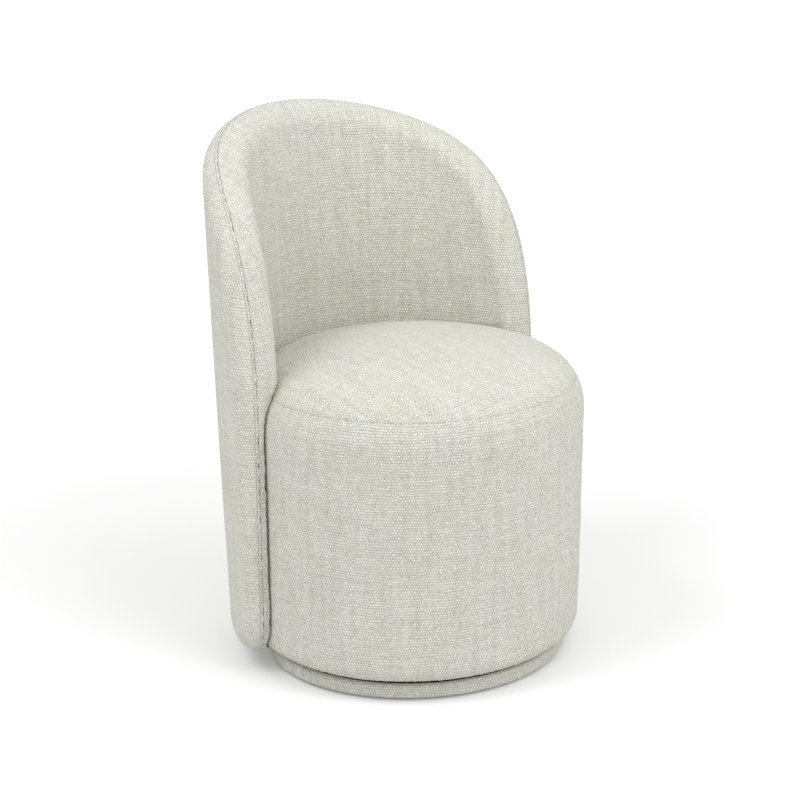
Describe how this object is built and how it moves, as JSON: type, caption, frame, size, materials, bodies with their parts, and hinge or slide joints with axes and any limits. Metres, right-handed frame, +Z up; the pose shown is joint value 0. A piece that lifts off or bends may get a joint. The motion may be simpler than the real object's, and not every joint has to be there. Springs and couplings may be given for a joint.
{
  "type": "swivel dining chair",
  "caption": "Fully upholstered dining chair: drum seat that swivels on a recessed plinth, with a tall rounded back panel wrapped round its rear.",
  "frame": {"origin": "on the floor, on the swivel's vertical axis, at the middle of the plinth", "axes": "+Z up; the sitter faces -Y, so +X is to the right of someone who looks along +Y at the chair's front"},
  "size_m": [0.5674, 0.5817, 0.7947],
  "materials": {
    "upholstery_fabric": "matte",
    "foam": "matte",
    "wadding": "matte",
    "birch_ply": "satin",
    "softwood": "matte",
    "zinc_steel": "satin",
    "ball_steel": "polished",
    "cage_plastic": "matte",
    "glide_plastic": "matte",
    "webbing": "matte",
    "dust_cloth": "matte"
  },
  "bodies": {
    "base": {"floor_glides": "glide_plastic", "glide_nails": "zinc_steel", "plinth_ring": "birch_ply", "plinth_centre_block": "softwood", "plinth_top_board": "birch_ply", "plinth_cover": "upholstery_fabric", "plinth_dust_cloth": "dust_cloth", "swivel_lower_plate": "zinc_steel", "lower_plate_screws": "zinc_steel", "swivel_rivet": "zinc_steel", "swivel_balls": "ball_steel", "ball_cage": "cage_plastic"},
    "seat": {"swivel_upper_plate": "zinc_steel", "upper_plate_bolts": "zinc_steel", "upper_plate_t_nuts": "zinc_steel", "seat_bottom_board": "birch_ply", "drum_posts": "softwood", "drum_top_ring": "birch_ply", "drum_skin": "birch_ply", "webbing_lengthwise": "webbing", "webbing_crosswise": "webbing", "webbing_staples": "zinc_steel", "drum_bottom_cloth": "dust_cloth", "seat_foam": "foam", "seat_wadding": "wadding", "seat_top_cover": "upholstery_fabric", "drum_side_foam": "foam", "drum_side_cover": "upholstery_fabric", "back_ply_shell": "birch_ply", "back_battens": "softwood", "back_bolts": "zinc_steel", "back_washers": "zinc_steel", "back_t_nuts": "zinc_steel", "back_inner_foam": "foam", "back_outer_foam": "foam", "back_inner_cover": "upholstery_fabric", "back_outer_cover": "upholstery_fabric", "back_seam_welt": "upholstery_fabric"}
  },
  "joints": [
    {"name": "seat_swivel", "type": "hinge", "parent": "base", "child": "seat", "pos_m": [0, 0, 0.0295], "axis": [0, 0, 1], "continuous": true}
  ]
}
